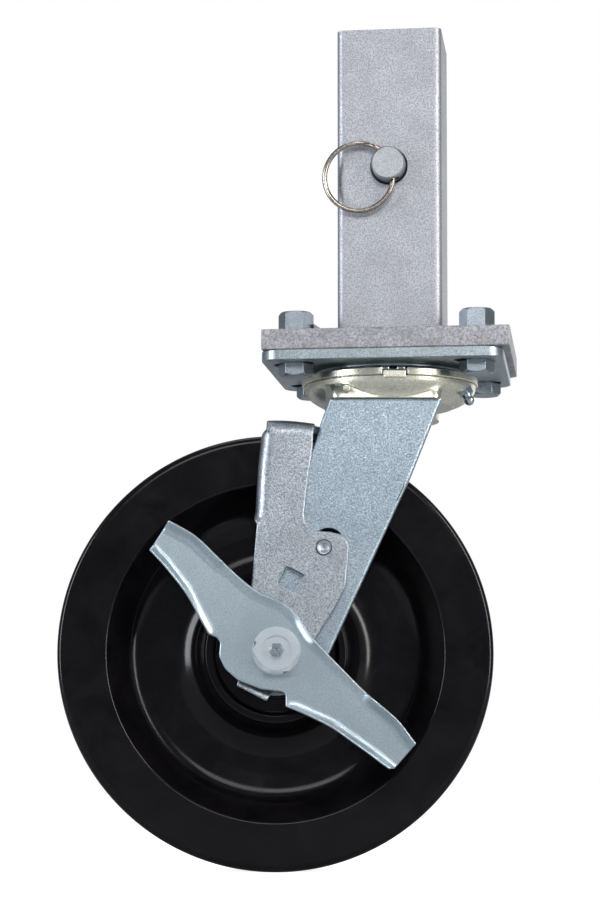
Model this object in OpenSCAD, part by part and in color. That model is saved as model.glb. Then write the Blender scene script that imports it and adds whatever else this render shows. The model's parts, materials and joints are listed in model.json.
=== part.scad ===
// Gate wheel: a swivel caster with a hard wheel and a side pedal brake, bolted under a plated square stem.
// The stem slides into a gate leg and a ring-grip detent pin locks it there.
// Origin: stem axis at the top face of the stem plate. +Z runs up the stem, -Y faces the brake side.

/* [Stem] */
// Outside width of the square stem
stem_w = 49.2; // [44:0.1:56]
// Wall of the stem
stem_wall = 4.8; // [3:0.1:6]
// Outside corner radius of the stem
stem_corner_r = 3.5; // [2.5:0.1:5]
// Length of the stem above its plate
stem_l = 146.3; // [115:0.1:190]
// Leg of the fillet weld round the foot of the stem
weld_leg = 2.6; // [1.5:0.1:4]

/* [Lock pin] */
// Diameter of the lock pin
pin_d = 15.88; // [13:0.01:19]
// Radial clearance of the pin in the stem's cross holes
pin_hole_clear = 0.8; // [0.6:0.05:0.95]
// Height of the pin above the stem plate
pin_z = 80.7; // [60:0.1:95]
// How far the pin stands out at the ring end
pin_front = 8; // [7:0.1:12]
// How far the pin stands out at the detent end
pin_rear = 20.5; // [18:0.1:30]
// Diameter of the detent ball
ball_d = 4; // [3.5:0.1:5]
// How far the detent ball stands proud of the pin
ball_proud = 0.5; // [0.3:0.05:0.5]
// Mean radius of the pull ring
ring_r = 16.1; // [13.5:0.1:18]
// Wire diameter of the pull ring
ring_wire = 2.3; // [1.8:0.1:2.6]
// Angle of the hanging pull ring below the horizontal
ring_angle = 22.5; // [0:0.5:60]

/* [Plates] */
// Length of the stem plate
stem_plate_l = 114.3; // [108:0.1:135]
// Width of the stem plate
stem_plate_w = 101.6; // [96:0.1:120]
// Thickness of the stem plate
stem_plate_t = 9.5; // [6:0.1:12]
// Clipped rear corners of the stem plate
stem_plate_clip = 4; // [1:0.5:8]
// Length of the caster's own plate
caster_plate_l = 112; // [106:0.1:132]
// Width of the caster's own plate
caster_plate_w = 101.6; // [96:0.1:120]
// Thickness of the caster's own plate
caster_plate_t = 4.8; // [4:0.1:6]
// Corner radius of the caster's own plate
caster_plate_r = 9; // [5:0.5:14]
// Outer end of a slot, measured from the plate's centre
slot_outer = [46.05, 33.35];
// Inner end of a slot, measured from the plate's centre
slot_inner = [38.1, 38.1];
// Width of the slots
slot_w = 11.1; // [11:0.1:12]
// How far the caster sits off the stem's axis in its slots
caster_shift = -1.8; // [-2:0.1:-1]
// Plate bolt diameter
bolt_d = 9.5; // [7.9:0.1:9.5]
// Plate bolt and nut size across flats
bolt_af = 14.3; // [13:0.1:15.5]
// Height of a plate bolt's head
bolt_head_h = 6; // [5:0.1:8]
// Height of a plate nut
nut_h = 9.8; // [7:0.1:12]

/* [Swivel] */
// Heading of the fork at rest
rest_swivel = 7.8; // [-30:0.1:30]
// Outside radius of the race ring
race_r = 42; // [40:0.1:46]
// Height of the race ring's rim
race_h = 3.6; // [3.2:0.1:4.5]
// Air between the caster plate and the race ring
race_gap = 2.7; // [2.4:0.1:3.2]
// Swivel ball diameter
swivel_ball_d = 6.35; // [6:0.01:6.5]
// Pitch radius of the upper ball row
upper_pitch_r = 30; // [28.5:0.1:30.5]
// Pitch radius of the lower ball row
lower_pitch_r = 18.5; // [18:0.1:19.5]
// King pin diameter
king_d = 12.7; // [10:0.1:13.5]
// Height of the crown under the race ring
crown_h = 10.2; // [9:0.1:12]

/* [Fork] */
// Distance of the axle behind the swivel axis
lead = 54.6; // [45:0.1:62]
// Height of the axle below the stem plate's top
axle_drop = 148.5; // [145:0.1:165]
// Clear width between the fork legs
leg_gap = 59.2; // [58.4:0.1:72]
// Thickness of a fork leg
leg_t = 6.35; // [5:0.05:8]
// Slope of the fork legs from the horizontal
leg_angle = 64.5; // [62:0.1:67]

/* [Wheel] */
// Wheel diameter
wheel_d = 203.2; // [169:0.1:204]
// Tread width
wheel_w = 50.8; // [46:0.1:51]
// Length of the wheel's hub
hub_l = 55.6; // [54:0.1:55.7]
// Axle diameter
axle_d = 12.7; // [10:0.1:13]
// Outside diameter of the sleeve that the rollers run on
sleeve_d = 22.2; // [20:0.1:23]
// Roller diameter
roller_d = 3.9; // [3.5:0.1:4.1]
// Number of rollers
roller_count = 12; // [8:1:14]

/* [Brake] */
// Thickness of the brake arm
arm_t = 4; // [3:0.1:4.2]
// Thickness of the brake pedal
pedal_t = 3; // [2.5:0.1:3.5]
// Slope of the pedal with the brake off
pedal_angle = 41.9; // [38:0.1:45]
// Gap between the brake shoe and the tread
shoe_gap = 1.6; // [1.5:0.1:3]
// Pedal travel from brake off to brake on
pedal_travel = 45; // [30:1:45]
// Arm travel over the same stroke
arm_travel = 3; // [2:0.1:3]

/* [Hidden] */
$fn = 64;

fit = 0.05;         // radial running clearance
slack = 0.2;        // clearance round loose balls and beside running faces
seam = 0.01;        // overlap that makes one solid of the shapes in a node
ROOT3 = sqrt(3);

// Stem
stem_bore = stem_w - 2 * stem_wall;
pin_r = pin_d / 2;
pin_hole_r = pin_r + pin_hole_clear;
pin_y0 = -stem_w / 2 - pin_front;
pin_y1 = stem_w / 2 + pin_rear;
front_bevel = 0.8;
rear_bevel = 1;
ball_y = pin_y1 - 6.5;
ball_z = pin_z - pin_r - ball_proud + ball_d / 2;
ball_bore_r = ball_d / 2 + fit;
ball_bore_depth = 11;
ring_y = -stem_w / 2 - pin_front / 2;
ring_sag = (ring_r - sqrt(ring_r * ring_r - pin_r * pin_r)) / 2;
ring_offset = ring_r - ring_sag;
cross_hole_r = ring_sag + ring_wire / 2 + 0.2;

// Plates and swivel stack, all in Z
plate_z = -stem_plate_t;
caster_z = plate_z - caster_plate_t;
bolt_centre = caster_shift + 1.2;
bolt_x = (slot_outer.x + slot_inner.x) / 2;
bolt_y = (slot_outer.y + slot_inner.y) / 2;
race_top = caster_z - race_gap;
crown_top = race_top - race_h;
crown_bottom = crown_top - crown_h;
upper_ball_z = (caster_z + race_top) / 2 - 0.35;
groove_r = swivel_ball_d / 2 + slack;
emboss_r = [upper_pitch_r - 5, upper_pitch_r + 5.5];
emboss_h = race_gap - 1.4;
crown_r = race_r - 6;
hub_post_r = 11.5;
lower_ball_z = crown_bottom - 1.9;
lower_race_top = lower_ball_z - 1.3;
lower_race_h = 3.4;
king_nut_h = 10.5;
king_end = 1.5;
sink = 4.6;
king_nut_z = lower_race_top - lower_race_h - king_nut_h;
notch_w = 11.8;
tab_w = 10.5;
disc_t = 1.6;
nut_flange_h = 0.9;
thread_end = 0.3;
upper_count = 26;
lower_count = 14;

// Fork and axle, in the fork's own frame
axle = [-lead, -axle_drop];
leg_in = leg_gap / 2;
leg_out = leg_in + leg_t;
leg_dir = [cos(leg_angle), sin(leg_angle)];
leg_nor = [sin(leg_angle), -cos(leg_angle)];
crown_x = [axle.x + 24.7, axle.x + 77.1];
crown_drop = crown_bottom - axle.y;
arm_y0 = -leg_out - 0.15;
arm_y1 = arm_y0 - arm_t;
pedal_y0 = arm_y1 - 3.4;
pedal_y1 = pedal_y0 - pedal_t;
bush_d = 15;
bush_flange_r = 10.5;
bush_end = pedal_y1 - 0.3;
head_af = 19.05;
head_h = 8;
washer_t = 2.5;
axle_nut_h = 11;
pivot = [21.8, 47.8];
pivot_d = 7.1;
drive_r = 16;
drive_d = 5;
drive_angle = 68;
window_w = 9.5;
ear_z = 63;
shoe_r = wheel_d / 2 + shoe_gap;
shoe_left = -4.4;
shoe_near_right = 17;
shoe_far_right = 23.5;
lip_t = 2.6;
edge_flange = 9;
fitting_neck = 1.2;
pedal_ratio = arm_travel / pedal_travel;

// Wheel
wheel_r = wheel_d / 2;
sleeve_r = sleeve_d / 2;
roller_pitch = sleeve_r + fit + roller_d / 2;
bore_r = roller_pitch + roller_d / 2 + fit;
roller_l = 44;
shoulder_r = 3.5;
hub_face = hub_l / 2;
recess_face = hub_face - 0.8;
thrust_t = leg_in - slack - recess_face;

module fork_frame() { translate([caster_shift, 0, 0]) rotate(rest_swivel) children(); }

// Profiles drawn in X and Z round the axle, as a plate from y back towards the viewer
module side_plate(y, t) {
    translate([axle.x, y, axle.y]) rotate([90, 0, 0]) linear_extrude(t) children();
}

// Cylinder along Y, from y0 to y1, at a place given from the axle
module cross_rod(r, y0, y1, at = [0, 0], facets = 64) {
    translate([axle.x + at.x, y1, axle.y + at.y])
        rotate([90, 0, 0]) cylinder(r = r, h = y1 - y0, $fn = facets);
}

module hexagon(af, h) { cylinder(r = af / ROOT3, h = h, $fn = 6); }

// Straight slot of width w from a to b with round ends
module slot(a, b, w) {
    out = atan2(b.y - a.y, b.x - a.x);
    turn = [for (t = [0:7.5:180]) t];
    polygon(concat([for (t = turn) b + w / 2 * [cos(out - 90 + t), sin(out - 90 + t)]],
        [for (t = turn) a + w / 2 * [cos(out + 90 + t), sin(out + 90 + t)]]));
}

module slots(w) {
    for (sx = [-1, 1], sy = [-1, 1])
        slot([sx * slot_outer.x, sy * slot_outer.y], [sx * slot_inner.x, sy * slot_inner.y], w);
}

module at_bolts() {
    for (sx = [-1, 1], sy = [-1, 1]) translate([bolt_centre + sx * bolt_x, sy * bolt_y, 0]) children();
}

module round_square(size, r) {
    a = size.x / 2 - r;
    b = size.y / 2 - r;
    square([size.x, 2 * b], center = true);
    square([2 * a, size.y], center = true);
    for (x = [-a, a], y = [-b, b]) translate([x, y]) circle(r = r);
}

// ---- stem ----

module stem_tube() color("#a9acb2") {
    inner_r = max(stem_corner_r - stem_wall, 1);
    difference() {
        linear_extrude(stem_l) round_square([stem_w, stem_w], stem_corner_r);
        translate([0, 0, -1]) linear_extrude(stem_l + 2)
            round_square([stem_bore, stem_bore], inner_r);
        translate([0, stem_w, pin_z]) rotate([90, 0, 0]) cylinder(r = pin_hole_r, h = 2 * stem_w);
    }
}

module stem_plate() color("#a5a2a0") {
    a = stem_plate_l / 2;
    b = stem_plate_w / 2;
    c = stem_plate_clip;
    difference() {
        translate([0, 0, plate_z]) linear_extrude(stem_plate_t)
            polygon([[-a, -b], [a, -b], [a, b - c], [a - c, b], [c - a, b], [-a, b - c]]);
        at_bolts() translate([0, 0, plate_z - 1]) cylinder(d = bolt_d + 0.8, h = stem_plate_t + 2);
    }
}

module stem_weld() color("#9a9ca2") {
    half = stem_w / 2;
    run = half - stem_corner_r;
    for (k = [0:3]) rotate(90 * k) {
        translate([half, run, 0]) rotate([90, 0, 0]) linear_extrude(2 * run)
            polygon([[0, 0], [weld_leg * 0.6, 0], [0, weld_leg]]);
        translate([run, run, 0]) rotate_extrude(angle = 90)
            polygon([[stem_corner_r, 0], [stem_corner_r + weld_leg * 0.6, 0], [stem_corner_r, weld_leg]]);
    }
}

module bolt_tack_weld() color("#8f9094") {
    from = bolt_centre - bolt_x + bolt_af / ROOT3 + 0.05;
    to = -stem_w / 2 - weld_leg * 0.6;
    translate([0, -bolt_y + 2, 0]) rotate([90, 0, 0]) linear_extrude(4)
        polygon([[from, 0], [to, 0], [from + 0.7 * (to - from), 0.6], [from, 4.4]]);
}

module caster_plate() color("#b4bfc4") translate([caster_shift, 0, 0]) {
    difference() {
        union() {
            translate([0, 0, caster_z]) linear_extrude(caster_plate_t) difference() {
                round_square([caster_plate_l, caster_plate_w], caster_plate_r);
                slots(slot_w);
            }
            translate([0, 0, caster_z - emboss_h]) difference() {
                cylinder(r = emboss_r[1], h = emboss_h + seam, $fn = 96);
                translate([0, 0, -1]) cylinder(r = emboss_r[0], h = emboss_h + 1);
            }
            translate([0, 0, lower_race_top]) cylinder(r = hub_post_r, h = caster_z - lower_race_top + seam);
        }
        translate([0, 0, upper_ball_z]) rotate_extrude($fn = 96)
            translate([upper_pitch_r, 0]) circle(r = groove_r, $fn = 48);
        translate([0, 0, lower_race_top - 1])
            cylinder(d = king_d + 2 * fit, h = plate_z - lower_race_top + 2);
        translate([0, 0, plate_z - sink])
            cylinder(r1 = king_d / 2 + fit, r2 = king_d / 2 + fit + sink, h = sink + seam);
    }
}

// Hexagon whose far end is turned down to a cone, as on a bolt head or a nut
module chamfered_hexagon(af, h) {
    intersection() {
        hexagon(af, h);
        cylinder(r1 = af / 2 - 0.2 + h, r2 = af / 2 - 0.2, h = h);
    }
}

module plate_bolts() color("#b9c4cc") at_bolts() {
    translate([0, 0, caster_z]) mirror([0, 0, 1]) chamfered_hexagon(bolt_af, bolt_head_h);
    translate([0, 0, caster_z - seam]) cylinder(d = bolt_d, h = nut_h - thread_end - caster_z + seam);
}

module plate_nuts() color("#c2ccd2") at_bolts() difference() {
    union() {
        chamfered_hexagon(bolt_af, nut_h);
        cylinder(d = bolt_af + 1.5, h = nut_flange_h);
    }
    translate([0, 0, -1]) cylinder(d = bolt_d + 2 * fit, h = nut_h + 2);
}

module king_pin() color("#9fa5aa") translate([caster_shift, 0, 0]) {
    translate([0, 0, plate_z - sink]) cylinder(r1 = king_d / 2, r2 = king_d / 2 + sink, h = sink);
    translate([0, 0, king_nut_z - king_end])
        cylinder(d = king_d, h = plate_z - sink - king_nut_z + king_end + seam);
}

module king_pin_nut() color("#aab2b8") translate([caster_shift, 0, king_nut_z]) difference() {
    intersection() {
        hexagon(head_af, king_nut_h);
        cylinder(r1 = head_af / 2 - 0.2, r2 = head_af / 2 + 3, h = king_nut_h);
    }
    translate([0, 0, -1]) cylinder(d = king_d + 2 * fit, h = king_nut_h + 2);
}

module lower_race() color("#a8a48e") translate([caster_shift, 0, 0]) difference() {
    translate([0, 0, lower_race_top - lower_race_h]) cylinder(r = lower_pitch_r + 5, h = lower_race_h);
    translate([0, 0, lower_race_top - lower_race_h - 1]) cylinder(d = king_d + 2 * fit, h = lower_race_h + 2);
    translate([0, 0, lower_ball_z]) rotate_extrude()
        translate([lower_pitch_r, 0]) circle(r = groove_r, $fn = 48);
}

module ball_row(count, pitch, z) {
    for (k = [0:count - 1]) rotate(360 * k / count)
        translate([pitch, 0, z]) sphere(d = swivel_ball_d, $fn = 24);
}

module upper_balls() color("#d0d4d8") fork_frame() ball_row(upper_count, upper_pitch_r, upper_ball_z);
module lower_balls() color("#d0d4d8") fork_frame() ball_row(lower_count, lower_pitch_r, lower_ball_z);

// ---- fork ----

module race_ring() color("#b5b39a") fork_frame() difference() {
    translate([0, 0, crown_top]) cylinder(r = race_r, h = race_h, $fn = 128);
    translate([0, 0, crown_top - 1]) cylinder(r = upper_pitch_r - 6, h = race_h + 2);
    translate([0, 0, upper_ball_z]) rotate_extrude($fn = 96)
        translate([upper_pitch_r, 0]) circle(r = groove_r, $fn = 48);
    translate([-notch_w / 2, -race_r - 1, crown_top - 1]) cube([notch_w, race_r - crown_r + 1, race_h + 2]);
}

module yoke_crown() color("#c0bfa6") fork_frame() {
    foot_w = crown_x[1] - crown_x[0];
    foot_mid = (crown_x[0] + crown_x[1]) / 2;
    difference() {
        union() {
            translate([0, 0, crown_top - disc_t]) cylinder(r = race_r - 1, h = disc_t, $fn = 128);
            hull() {
                translate([0, 0, crown_top - disc_t]) cylinder(r = crown_r + 1, h = 0.5, $fn = 48);
                translate([foot_mid, 0, crown_bottom]) linear_extrude(crown_h - 2.4)
                    round_square([foot_w, 2 * leg_out], 3, $fn = 16);
            }
            translate([-tab_w / 2, -race_r + 0.4, crown_top - disc_t])
                cube([tab_w, race_r - crown_r - 0.8, disc_t + race_h - 1.2]);
        }
        translate([0, 0, crown_bottom - 1]) cylinder(r = hub_post_r + 0.5, h = crown_h + 2);
        translate([0, 0, lower_ball_z]) rotate_extrude()
            translate([lower_pitch_r, 0]) circle(r = groove_r, $fn = 48);
    }
}

// Outline of a leg round the axle: straight sides parallel to its slope and a round foot
module leg_outline() {
    right_foot = 22.8 * leg_nor;
    left_knee = -25 * leg_nor + 30 * leg_dir;
    top_left = [crown_x[0] - axle.x, crown_drop];
    top_right = [crown_x[1] - axle.x, crown_drop];
    foot = [for (a = [-40:-10:-190]) 19 * [cos(leg_angle - 90 + a), sin(leg_angle - 90 + a)]];
    polygon(concat([top_left, top_right, top_right + [-15, -37.4], right_foot], foot,
        [left_knee, top_left + [-7.3, -21.1]]));
}

module kidney_slot() {
    centre = pivot + [2.3, 2];
    sweep = [for (a = [40:5:140]) a];
    polygon(concat([for (a = sweep) centre + 7.4 * [cos(a), sin(a)]],
        [for (k = [len(sweep) - 1:-1:0]) centre + 5.8 * [cos(sweep[k]), sin(sweep[k])]]));
}

module leg_near() color("#b7c3ca") fork_frame() difference() {
    side_plate(-leg_in, leg_t) difference() {
        leg_outline();
        kidney_slot();
    }
    cross_rod(axle_d / 2 + fit, -leg_out - 1, -leg_in + 1);
    cross_rod(pivot_d / 2 + fit, -leg_out - 1, -leg_in + 1, pivot);
}

module leg_far() color("#b7c3ca") fork_frame() difference() {
    side_plate(leg_out, leg_t) leg_outline();
    cross_rod(axle_d / 2 + fit, leg_in - 1, leg_out + 1);
}

module swivel_grease_fitting() color("#c3c8c6") fork_frame()
    rotate(-26) translate([crown_r + 1.2, 0, crown_top - disc_t]) rotate([0, 155, 0]) {
        translate([0, 0, -0.4]) cylinder(d = 5, h = 1 + fitting_neck);
        translate([0, 0, fitting_neck + 0.5]) cylinder(d = 7, h = 3.2, $fn = 6);
        translate([0, 0, fitting_neck + 3.6]) cylinder(d1 = 5.2, d2 = 3.6, h = 2.2);
        translate([0, 0, fitting_neck + 6.6]) sphere(d = 4.8, $fn = 24);
    }

module crown_plug() color("#b9bcae") fork_frame()
    translate([crown_x[0] + 7.8, -leg_out, crown_bottom + 4.7]) rotate([90, 0, 0]) {
        cylinder(d = 3.6, h = 1.2);
        translate([0, 0, 1.2]) cylinder(d1 = 3.6, d2 = 2.2, h = 0.5);
    }

module axle_bolt() color("#c0c8cc") fork_frame() {
    difference() {
        union() {
            cross_rod(11, bush_end - 1.6, bush_end);
            cross_rod(head_af / ROOT3, bush_end - head_h + 1, bush_end - 1.5, facets = 6);
            cross_rod(head_af / 2 - 0.4, bush_end - head_h, bush_end - 1.5);
        }
        cross_rod(6.75, bush_end - head_h - 1, bush_end - head_h + 1.4);
        cross_rod(1.6, bush_end - head_h - 1, bush_end - 2);
    }
    difference() {
        cross_rod(axle_d / 2, bush_end - 1, leg_out + washer_t + axle_nut_h + 2);
        cross_rod(1.6, bush_end - 4, bush_end - 0.5);
    }
}

module axle_grease_fitting() color("#ccd2d4") fork_frame() {
    floor_y = bush_end - head_h + 1.4;
    cross_rod(1.55, floor_y - 0.5, floor_y + 4);
    difference() {
        union() {
            cross_rod(3.5, floor_y - 2.4, floor_y, facets = 6);
            cross_rod(2.7, floor_y - 4.4, floor_y);
        }
        cross_rod(0.8, floor_y - 5, floor_y - 3);
    }
}

module axle_washer() color("#b5bec2") fork_frame() difference() {
    cross_rod(13, leg_out, leg_out + washer_t);
    cross_rod(axle_d / 2 + fit, leg_out - 1, leg_out + washer_t + 1);
}

module axle_nut() color("#b9c2c8") fork_frame() difference() {
    cross_rod(head_af / ROOT3, leg_out + washer_t, leg_out + washer_t + axle_nut_h, facets = 6);
    cross_rod(axle_d / 2 + fit, leg_out, leg_out + washer_t + axle_nut_h + 1);
}

module pedal_bush() color("#aeb4b8") fork_frame() difference() {
    union() {
        cross_rod(bush_d / 2, bush_end, -leg_out);
        cross_rod(bush_flange_r, pedal_y0 + slack, arm_y1 - 0.4);
    }
    cross_rod(axle_d / 2 + fit, bush_end - 1, -leg_out + 1);
}

module bearing_sleeve() color("#a9b0b4") fork_frame() difference() {
    cross_rod(sleeve_r, -leg_in, leg_in);
    cross_rod(axle_d / 2 + fit, -leg_in - 1, leg_in + 1);
}

module thrust_washers() color("#8e9498") fork_frame() for (side = [-1, 1]) difference() {
    cross_rod(20, side > 0 ? leg_in - thrust_t : -leg_in, side > 0 ? leg_in : thrust_t - leg_in);
    cross_rod(sleeve_r + fit, -leg_in - 1, leg_in + 1);
}

// ---- wheel ----

// Half profile of the wheel: radius across, distance from the wheel's middle plane up
function half_wheel() = let (arc = [for (a = [0:15:90]) [wheel_r - shoulder_r + shoulder_r * cos(a),
        wheel_w / 2 - shoulder_r + shoulder_r * sin(a)]])
    concat(arc, [[wheel_r - 23, wheel_w / 2], [wheel_r - 24.6, wheel_w / 2 - 1.2],
        [wheel_r - 30.4, 14], [wheel_r - 34, 12], [wheel_r - 38, 11.4], [45, 11], [41, 12.2], [38.2, 15],
        [33.8, hub_face - 2.4], [32.8, hub_face - 0.3], [32.2, hub_face], [29.3, hub_face],
        [28.5, hub_face - 0.8], [27.6, recess_face - 2.2], [22, recess_face - 2.2], [21, recess_face],
        [bore_r, recess_face]]);

module wheel() color("#1c1b1d") fork_frame() translate([axle.x, 0, axle.y]) rotate([90, 0, 0]) {
    half = half_wheel();
    rotate_extrude($fn = 180)
        polygon(concat(half, [for (k = [len(half) - 1:-1:0]) [half[k].x, -half[k].y]]));
}

module roller_cage() color("#8d8f86") fork_frame() difference() {
    cross_rod(roller_pitch + 0.6, -roller_l / 2 - 2, roller_l / 2 + 2);
    cross_rod(roller_pitch - 0.6, -roller_l / 2 - 3, roller_l / 2 + 3);
    for (k = [0:roller_count - 1]) {
        a = 360 * k / roller_count;
        half = roller_l / 2 + slack;
        cross_rod(roller_d / 2 + 0.1, -half, half, roller_pitch * [cos(a), sin(a)], 24);
    }
}

module bearing_rollers() color("#c9ced2") fork_frame() for (k = [0:roller_count - 1]) {
    a = 360 * k / roller_count;
    cross_rod(roller_d / 2, -roller_l / 2, roller_l / 2, roller_pitch * [cos(a), sin(a)], 24);
}

// ---- brake ----

// Turn of the arm about its pivot, as a rotation matrix applied to a point
function turned(p, about, a) = let (d = p - about)
    about + [d.x * cos(a) - d.y * sin(a), d.x * sin(a) + d.y * cos(a)];
// Centre of the drive pin seen from the arm when the pedal has turned by a
function drive_seen(a) = let (way = drive_angle + a)
    turned(drive_r * [cos(way), sin(way)], pivot, -pedal_ratio * a);

// Height at a share of the way up the arm's shank, from its ear to its shoe
function shank(share) = ear_z + share * (shoe_r - ear_z);

module arm_outline() {
    shank_top = [[shoe_left, shoe_r - 0.2], [shoe_left + 0.8, shoe_r + 2.4], [shoe_left + 2.8, shoe_r + 4],
        [1, shoe_r + 4.6], [shoe_near_right + 0.2, shoe_r + 2.8], [16.6, shank(0.73)], [14.5, shank(0.39)]];
    ear = [[12.8, ear_z], [13.4, 59], [17.2, 55.7], [25.4, 55], [29.4, 54], [32.2, 51.6], [33.5, 48.3],
        [32.1, 30.1], [26.7, 19.9], [19.2, 7.8]];
    foot = [[3.3, -16.5], [-3.2, -20.4], [-17.3, -13], [-16.5, -9]];
    polygon(concat(shank_top, ear, foot, [[-11.1, 34.1], [-8.7, 58.4], [-7.7, 61.1], [-6.4, shank(0.56)]]));
}

module drive_slot() {
    r = drive_d / 2 + 0.35;
    steps = [for (k = [-1:9]) k * pedal_travel / 8];
    path = [for (a = steps) drive_seen(a)];
    side = [for (k = [0:len(path) - 2]) let (d = path[k + 1] - path[k]) [d.y, -d.x] / norm(d)];
    polygon(concat([for (k = [0:len(side) - 1]) path[k] + r * side[k]],
        [for (k = [len(side) - 1:-1:0]) path[k] - r * side[k]]));
    translate(drive_seen(0)) circle(r = r);
    translate(drive_seen(pedal_travel)) circle(r = r);
}

module bush_opening() {
    r = bush_d / 2 + 0.4;
    run = turned([0, 0], pivot, -arm_travel - 0.2);
    slot([0, 0], run, 2 * r);
}

// Shoe: a band round the tread, cut to the arm's width
module shoe_section(reach) {
    intersection() {
        difference() {
            circle(r = shoe_r + arm_t, $fn = 256);
            circle(r = shoe_r, $fn = 256);
        }
        translate([shoe_left, shoe_r - 13]) square([reach - shoe_left, 30]);
    }
}

module brake_arm() color("#aeb1b0") fork_frame() {
    difference() {
        side_plate(arm_y0, arm_t) arm_outline();
        side_plate(arm_y0 + 1, arm_t + 2) {
            bush_opening();
            drive_slot();
            translate([6.7, 33]) rotate(-26.6) square(window_w, center = true);
        }
        cross_rod(pivot_d / 2 + fit, arm_y1 - 1, arm_y0 + 1, pivot);
    }
    side_plate(-leg_in + 1, arm_t + 1 - leg_in - arm_y1) shoe_section(shoe_near_right);
    side_plate(24, 23 + leg_in) shoe_section(shoe_far_right);
    side_plate(arm_y0 + edge_flange, edge_flange + seam) polygon([[shoe_left, shoe_r - 0.2],
        [shoe_left + 3.8, shoe_r - 0.2], [-3.9, 61.5], [-7.7, 61.1], [-6.4, shank(0.56)]]);
    side_plate(arm_y1 + seam, lip_t) polygon([[-2.4, -18.9], [-3.6, -22.3], [-4.9, -22.3], [-17.5, -15.6],
        [-16.2, -12.2]]);
}

module pivot_pin() color("#9a9c9e") fork_frame() {
    cross_rod(pivot_d / 2, arm_y1 - 0.3, -leg_in + 2, pivot);
    translate([axle.x + pivot.x, arm_y1 - 0.3, axle.y + pivot.y]) rotate([90, 0, 0])
        cylinder(d1 = pivot_d, d2 = pivot_d - 1.6, h = 0.5);
}

module pivot_collar() color("#9a9c9e") fork_frame() difference() {
    cross_rod(pivot_d / 2 + 2.4, -leg_in, -leg_in + 1.6, pivot);
    cross_rod(pivot_d / 2 + fit, -leg_in - 1, -leg_in + 2, pivot);
}

module pedal_flat() {
    upper = [[-76, 9], [-62.4, 12.2], [-49.5, 12.2], [-31, 11.2], [-22.5, 13], [-12.1, 17], [-3.5, 16.8],
        [4.5, 14.5], [11.8, 12.6], [19.8, 12.6], [43.9, 11], [61.9, 11], [75.6, 8.4]];
    lower = [[75.9, -2], [73.7, -3.6], [60.7, -4.8], [41.5, -7], [27.6, -11.4], [20.1, -14], [15.7, -11.3]];
    hub = [[6.6, -17.7], [-3.8, -21.8], [-11.9, -21.9], [-18, -19.3], [-21.6, -14.3]];
    left_toe = [[-27.9, -12.6], [-33.7, -10.6], [-47.7, -5.8], [-64.2, -3], [-74, -2.2]];
    polygon(concat(upper, lower, hub, left_toe));
}

// Flange along an edge: a strip that leans out from the plate's face, drawn as one prism per edge run
module pedal_flange(points, lean, out) {
    for (k = [0:len(points) - 2]) hull() for (p = [points[k], points[k + 1]])
        translate([p.x, p.y, 0]) {
            cylinder(d = 0.4, h = pedal_t, $fn = 8);
            translate([0, lean, out]) cylinder(d = 0.4, h = pedal_t, $fn = 8);
        }
}

module brake_pedal() color("#b4c6cc") fork_frame() translate([axle.x, pedal_y0, axle.y]) rotate([90, 0, 0])
    rotate(-pedal_angle) difference() {
        union() {
            linear_extrude(pedal_t) pedal_flat();
            pedal_flange([[-76, 9], [-62.4, 12.2], [-49.5, 12.2]], 2.6, 3.4);
            pedal_flange([[-22.5, 13], [-12.1, 17]], 1.7, 1.6);
            pedal_flange([[43.9, 11], [61.9, 11], [75.6, 8.4]], 2.6, 3.4);
        }
        translate([0, 0, -1]) cylinder(d = bush_d + 2 * fit, h = pedal_t + 2);
        rotate(pedal_angle) translate(drive_r * [cos(drive_angle), sin(drive_angle), 0])
            translate([0, 0, -1]) cylinder(d = 3 + 2 * fit, h = 2.6);
    }

module drive_pin() color("#a4a9ac") fork_frame() {
    at = drive_r * [cos(drive_angle), sin(drive_angle)];
    cross_rod(drive_d / 2, pedal_y0, -leg_out - 0.5, at);
    cross_rod(1.5, pedal_y0 - 1.4, pedal_y0 + seam, at);
}

// ---- lock pin ----

module lock_pin() color("#a2a5a8") difference() {
    union() {
        translate([0, pin_y1 - rear_bevel, pin_z]) rotate([90, 0, 0])
            cylinder(r = pin_r, h = pin_y1 - pin_y0 - rear_bevel - front_bevel);
        translate([0, pin_y0 + front_bevel, pin_z]) rotate([90, 0, 0])
            cylinder(r1 = pin_r, r2 = pin_r - front_bevel, h = front_bevel);
        translate([0, pin_y1 - rear_bevel, pin_z]) rotate([-90, 0, 0])
            cylinder(r1 = pin_r, r2 = pin_r - rear_bevel, h = rear_bevel);
    }
    translate([0, ball_y, pin_z - pin_r - 1]) cylinder(r = ball_bore_r, h = ball_bore_depth + 1);
    translate([0, ring_y, pin_z]) rotate([0, 90 + 90 - ring_angle, 0])
        cylinder(r = cross_hole_r, h = 2 * pin_d, center = true);
}

// Round coil of wire made of open rings, one above the other
module detent_spring() color("#b8bcc0") {
    z0 = ball_z + ball_d / 2;
    z1 = pin_z - pin_r + ball_bore_depth;
    coils = 5;
    wire = 0.6;
    pitch = (z1 - z0 - wire) / (coils - 1);
    for (k = [0:coils - 1]) translate([0, ball_y, z0 + wire / 2 + k * pitch])
        rotate_extrude($fn = 24) translate([ball_d / 2 - 0.45, 0]) circle(d = wire, $fn = 16);
}

module detent_ball() color("#d4d8dc") translate([0, ball_y, ball_z]) sphere(d = ball_d, $fn = 32);

module pull_ring() color("#b3aea6")
    translate([-ring_offset * cos(ring_angle), ring_y, pin_z - ring_offset * sin(ring_angle)])
        rotate([90, 0, 0]) rotate_extrude($fn = 96) translate([ring_r, 0]) circle(d = ring_wire, $fn = 24);

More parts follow.
